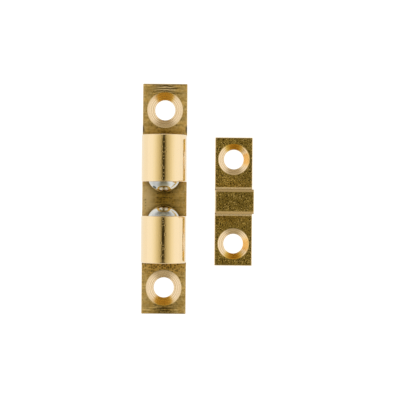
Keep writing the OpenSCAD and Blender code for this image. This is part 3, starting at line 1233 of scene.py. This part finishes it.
# %% Colours of the body
FLAT_LIGHT = (0.98, 0.75, 0.36)
FLAT_DARK = (0.42, 0.26, 0.06)
GOLDEN = (0.95, 0.6, 0.13)
# Colour of the painted shade in the gap and the corners at the barrels.
SHADED = (0.5, 0.3, 0.04)
DEEP = (0.24, 0.14, 0.02)
POLISHED = (0.96, 0.75, 0.45)
TURNED = (0.98, 0.78, 0.53)
# Painted reflection: deep orange at the far wall of each countersink.
FAR_WALL_REFLECTION = (0.92, 0.63, 0.14)
EASED = (0.72, 0.55, 0.32)
RUBBED = (0.98, 0.8, 0.52)
DRAWN = (0.95, 0.72, 0.38)
CUT = (0.86, 0.56, 0.15)
# Dark of the dirt, pits and nicks, and of the painted shade under the balls and in the creases of the
# strike.
DIRT_AND_SHADE = (0.09, 0.055, 0.012)
FAR_WALL = 2.6
FAR_WALL_Z = 1.2
FAR_WALL_SIZE = (2.3, 1.9, 2.0)


def ringed(tree, place, rings, far_y):
    """Turned brass with rings, and a painted reflection of the brass across the hole in deep orange at the
    far side of each countersink.
    """
    far = spots(tree, place, [(0, -far_y, FAR_WALL_Z), (0, far_y, FAR_WALL_Z)], FAR_WALL_SIZE, 3.0)
    return layered(tree, blend, TURNED, (far, FAR_WALL_REFLECTION), (rings, FLAT_DARK, 0.4))


def flat_color(tree, pattern, mark):
    """Milled brass: stained in the middle and painted paler at the sides as a painted highlight, with lines,
    clouds and the marks over it.
    """
    return layered(
        tree, blend, FLAT_LIGHT,
        (ramp(tree, pattern.stain, 0.15, 0.65), FLAT_DARK),
        # Painted highlight: paler towards the sides of the bar, where the side light falls.
        (pattern.sides, FLAT_LIGHT, 0.85),
        (pattern.cloud, GOLDEN, 0.4),
        (mark.pitted, GOLDEN, 0.7),
        # Painted shade in the gap and the corners.
        (mark.shaded, SHADED),
        (pattern.lines, DEEP, 0.15),
        (pattern.mottle, DEEP, 0.2),
        (mark.pale, RUBBED),
        # Dirt and marks, and the painted shade under the balls.
        (mark.dark, DIRT_AND_SHADE, 0.75),
    )


def body_color(tree, place, zone, pattern, mark):
    """The colour of the flat faces, with that of each other finish laid over it by its mask."""
    return layered(
        tree, blend, flat_color(tree, pattern, mark),
        (zone.polished, POLISHED),
        (zone.turned, ringed(tree, place, pattern.rings, HOLE_Y + FAR_WALL)),
        (zone.drawn, layered(tree, blend, DRAWN, (pattern.long_lines, FLAT_DARK, 0.2))),
        (zone.cut, layered(tree, blend, CUT, (pattern.stain, FLAT_DARK, 0.4))),
        # The eased edges darken with the same marks, the painted shade under the balls among them.
        (zone.eased, layered(tree, blend, EASED, (mark.dark, DIRT_AND_SHADE, 0.9))),
    )


print("orange walls", FAR_WALL, "mm from the middle of a hole")

# %% [markdown]
# ## Brass of the body
# Under a dark ceiling a smooth spot looks dark and a rough one pale, so most of the pattern on the flat
# faces is roughness, which still looks like metal from the side. The barrels are lacquered, with a clear
# coat over the polish. Lines, waves and pits are only a few thousandths of a millimetre deep, but the pits
# break the dark line along the barrels' tops. The flat faces are a little crowned, as a file leaves them.

# %% Body brass
BODY_RELIEF = 0.007
CROWN_FALL = -16.0
PIT_FALL = -2.0


def body_roughness(tree, zone, pattern, mark):
    """Smooth where the lines and the mottle are strong, rougher at the sides; each finish has its own."""
    smooth = ramp(tree, 0.4, pattern.lines, pattern.mottle)
    rough = ramp(tree, smooth, ramp(tree, pattern.sides, 0.41, 0.64), ramp(tree, pattern.sides, 0.14, 0.36))
    return layered(
        tree, ramp, rough,
        (mark.pitted, 0.55, 0.6),
        (mark.pale, 0.6),
        (zone.polished, 0.05),
        (zone.turned, 0.24),
        (largest(tree, zone.drawn, zone.cut, zone.eased), 0.2),
    )


def body_height(tree, zone, pattern):
    """Height in steps of the relief: a crown with lines, or ripples with pits on the polished faces."""
    crowned = calc(tree, "MULTIPLY_ADD", pattern.dome, CROWN_FALL, pattern.lines)
    ripple = calc(tree, "MULTIPLY_ADD", pattern.pits, PIT_FALL, times(tree, pattern.waves, 0.4))
    ripple = calc(tree, "MULTIPLY_ADD", pattern.long_lines, 0.25, ripple)
    return layered(
        tree, ramp, crowned,
        (zone.drawn, times(tree, pattern.long_lines, 0.4)),
        (zone.turned, pattern.rings),
        (zone.polished, ripple),
        (largest(tree, zone.cut, zone.eased), 0.5),
    )


def body_brass():
    """Milled, polished, turned, drawn, cut and eased brass on one piece."""
    material, tree, shader, place = new_metal("body_brass")
    zone = masks(tree, "polished", "turned", "eased", "drawn", "cut")
    pattern = body_patterns(tree, place)
    mark = body_marks(tree, place)
    tree.links.new(body_color(tree, place, zone, pattern, mark), shader.inputs["Base Color"])
    tree.links.new(body_roughness(tree, zone, pattern, mark), shader.inputs["Roughness"])
    tree.links.new(zone.polished, shader.inputs["Coat Weight"])
    relief(tree, shader, body_height(tree, zone, pattern), BODY_RELIEF)
    return material


give(brass_body, body_brass())

# %% [markdown]
# ## Brass of the strike
# The strike was tumbled with small stones, which leaves an olive grain on its flat faces. From above the
# smooth grains mirror the dark ceiling and a few rough ones sparkle, so the grain is mostly roughness
# here too. The countersinks, the grooves and the chamfers of its tongue were cut later and are smooth
# and bright. Where a countersink faces the body, a warmer orange is painted on as a painted reflection of
# the barrel. The creases at the foot of the tongue are painted dark as painted shade.

# %% Strike brass
GRAIN_LIGHT = (0.93, 0.68, 0.2)
GRAIN_DARK = (0.25, 0.165, 0.03)
STRIKE_CUT = (0.6, 0.42, 0.19)
# Painted reflections in the countersinks: deep orange at the far walls, and a warmer orange on the walls
# that face the body and mirror its barrel.
BODY_REFLECTION_ORANGE = (1.0, 0.68, 0.3)
STRIKE_FAR_WALL = 2.3
BODY_REFLECTING_WALLS = ([(2.7, -STRIKE_HOLE_Y, 0.9), (2.7, STRIKE_HOLE_Y, 0.9)], (2.0, 2.0, 2.0), 2.0)
# Painted shade in the creases at the foot of the tongue.
CREASE_SHADE = ([(0, -TONGUE_HALF, STRIKE_T), (0, TONGUE_HALF, STRIKE_T)], (ENDLESS, 0.25, ENDLESS))
STRIKE_RELIEF = 0.01


def strike_color(tree, middle, zone, pattern):
    """Dark grain with light speckles and sparkles, and the colour of each other finish over it. The place is
    counted from the middle of the strike."""
    # Turned brass, with the painted reflection at the far wall of each countersink.
    bored = ringed(tree, middle, pattern.rings, STRIKE_HOLE_Y + STRIKE_FAR_WALL)
    return layered(
        tree, blend, GRAIN_DARK,
        (pattern.speckle, GRAIN_LIGHT),
        (pattern.stain, GRAIN_DARK, 0.5),
        (pattern.sparkle, FLAT_LIGHT, 0.6),
        # Painted reflection of the barrel on the countersink walls that face it.
        (zone.turned, layered(tree, blend, bored, (spots(tree, middle, *BODY_REFLECTING_WALLS), BODY_REFLECTION_ORANGE))),
        (zone.drawn, layered(tree, blend, DRAWN, (pattern.stain, FLAT_LIGHT))),
        (zone.cut, layered(tree, blend, CUT, (pattern.stain, FLAT_DARK, 0.3))),
        (zone.polished, layered(tree, blend, STRIKE_CUT, (pattern.speckle, FLAT_DARK, 0.3))),
        # Painted shade in the creases at the foot of the tongue.
        (zone.eased, layered(tree, blend, RUBBED, (spots(tree, middle, *CREASE_SHADE), DIRT_AND_SHADE))),
    )


def strike_brass():
    """Tumbled brass with bright turned countersinks and smooth cut faces."""
    material, tree, shader, place = new_metal("strike_brass")
    middle = vector_calc(tree, "SUBTRACT", place, tuple(STRIKE_AT))
    zone = masks(tree, "turned", "eased", "drawn", "cut", "polished")
    pattern = SimpleNamespace(
        speckle=use(tree, GRAIN, place, scale=7.5),
        sparkle=use(tree, PITS, place, scale=3.4, share=0.22, size=0.5),
        stain=use(tree, STAINS, place, scale=0.4),
        rings=use(tree, RINGS, middle, hole_distance=STRIKE_HOLE_Y, rings_per_mm=6.0),
    )
    tree.links.new(strike_color(tree, middle, zone, pattern), shader.inputs["Base Color"])
    smooth = largest(tree, zone.drawn, zone.cut, zone.polished)
    rough = layered(
        tree, ramp, ramp(tree, pattern.speckle, 0.02, 0.225),
        (pattern.sparkle, 0.54, 1.5),
        (zone.turned, 0.24),
        (smooth, 0.24),
        (zone.eased, 0.5),
    )
    tree.links.new(rough, shader.inputs["Roughness"])
    height = layered(
        tree, ramp, pattern.speckle, (zone.turned, times(tree, pattern.rings, 0.6)), (smooth, 0.5)
    )
    relief(tree, shader, height, STRIKE_RELIEF)
    return material


give(brass_strike, strike_brass())

# %% [markdown]
# ## Chrome of the balls
# The balls are bright chrome, so they show the room and each other. The tongue rubs over their tips and
# leaves a trace of brass there. The front ball is hazy on top and painted darker there as painted shade, and
# the rear one has painted shade on its left side and a dark chip. Both balls share one material: the marks
# are placed in the frame of the catch, so each lands on its own ball.

# %% Ball chrome
CHROME = (0.78, 0.79, 0.77)
CHROME_DULL = (0.66, 0.67, 0.65)
# Painted shade: the grey darkens the left side of the rear ball, and the haze colour the top of the front
# ball.
CHROME_GREY = (0.52, 0.53, 0.515)
HAZE_AND_SHADE = (0.31, 0.31, 0.295)
BRASS_TRACE = (0.74, 0.67, 0.57)
CHIP = (0.05, 0.07, 0.06)
HAZY_SHADED_TOP = ([(0, -3.1, 8.2)], (2.9, 1.5, 2.4), 2.0)
SHADED_LEFT_SIDE = ([(-1.0, 2.7, 7.6)], (2.0, 1.4, 1.7), 1.6)
RUBBED_TIPS = ([(0, -1.7, 7.0), (0, 1.7, 7.0)], (1.5, 0.8, 1.3), 2.0)
CHIPPED_SPOT = ([(-1.68, 2.12, 6.75)], (0.62, 0.42, 0.55), 3.0)


def ball_chrome():
    """Bright chrome with faint uneven patches, and the marks and the painted shade of both balls laid over
    it.
    """
    material, tree, shader, place = new_metal("ball_chrome")
    patches = use(tree, STAINS, place, scale=1.2)
    speckle = use(tree, GRAIN, place, scale=4.0)
    hazy_shade = times(tree, spots(tree, place, *HAZY_SHADED_TOP), ramp(tree, speckle, 0.7, 1.0))
    color = layered(
        tree, blend, CHROME,
        (patches, CHROME_DULL),
        # Painted shade on the left side of the rear ball, and on the hazy top of the front ball.
        (spots(tree, place, *SHADED_LEFT_SIDE), CHROME_GREY),
        (hazy_shade, HAZE_AND_SHADE),
        (spots(tree, place, *RUBBED_TIPS), BRASS_TRACE),
        (spots(tree, place, *CHIPPED_SPOT), CHIP),
    )
    tree.links.new(color, shader.inputs["Base Color"])
    tree.links.new(ramp(tree, hazy_shade, ramp(tree, patches, 0.03, 0.08), 0.16), shader.inputs["Roughness"])
    return material


chrome = ball_chrome()
for ball in balls:
    give(ball, chrome)

# %% [markdown]
# ## Wire of the springs and brass of the adjusters
# The springs are drawn steel wire, grey with faint patches. The adjusters are turned brass. Their rings
# lie about the axis of the barrel, so a mapping lays that axis along Z, and the same group that made the
# rings of the countersinks serves again, with a single hole in the middle.

# %% Spring steel and adjuster brass
WIRE_LIGHT = (0.5, 0.49, 0.47)
WIRE_DARK = (0.36, 0.35, 0.34)
ADJUSTER_RELIEF = 0.004


def spring_steel():
    """Drawn wire: grey, with faint patches."""
    material, tree, shader, place = new_metal("spring_steel")
    patches = use(tree, STAINS, place, scale=2.0)
    tree.links.new(blend(tree, patches, WIRE_LIGHT, WIRE_DARK), shader.inputs["Base Color"])
    tree.links.new(ramp(tree, patches, 0.25, 0.4), shader.inputs["Roughness"])
    return material


def adjuster_brass():
    """Turned brass, its rings about the axis of the barrel, which the mapping lays along Z."""
    material, tree, shader, place = new_metal("adjuster_brass")
    upright = node(tree, "Mapping", {
        "Vector": place, "Location": (0, -AXIS_Z, 0), "Rotation": (-pi / 2, 0, 0)
    }).outputs[0]
    rings = use(tree, RINGS, upright, hole_distance=0.0, rings_per_mm=4.0)
    stain = use(tree, STAINS, place, scale=0.6)
    color = layered(tree, blend, DRAWN, (stain, CUT, 0.5), (rings, FLAT_DARK, 0.25))
    tree.links.new(color, shader.inputs["Base Color"])
    tree.links.new(ramp(tree, rings, 0.22, 0.3), shader.inputs["Roughness"])
    relief(tree, shader, rings, ADJUSTER_RELIEF)
    return material


wire, screw_brass = spring_steel(), adjuster_brass()
for spring in springs:
    give(spring, wire)
for screw in adjusters:
    give(screw, screw_brass)
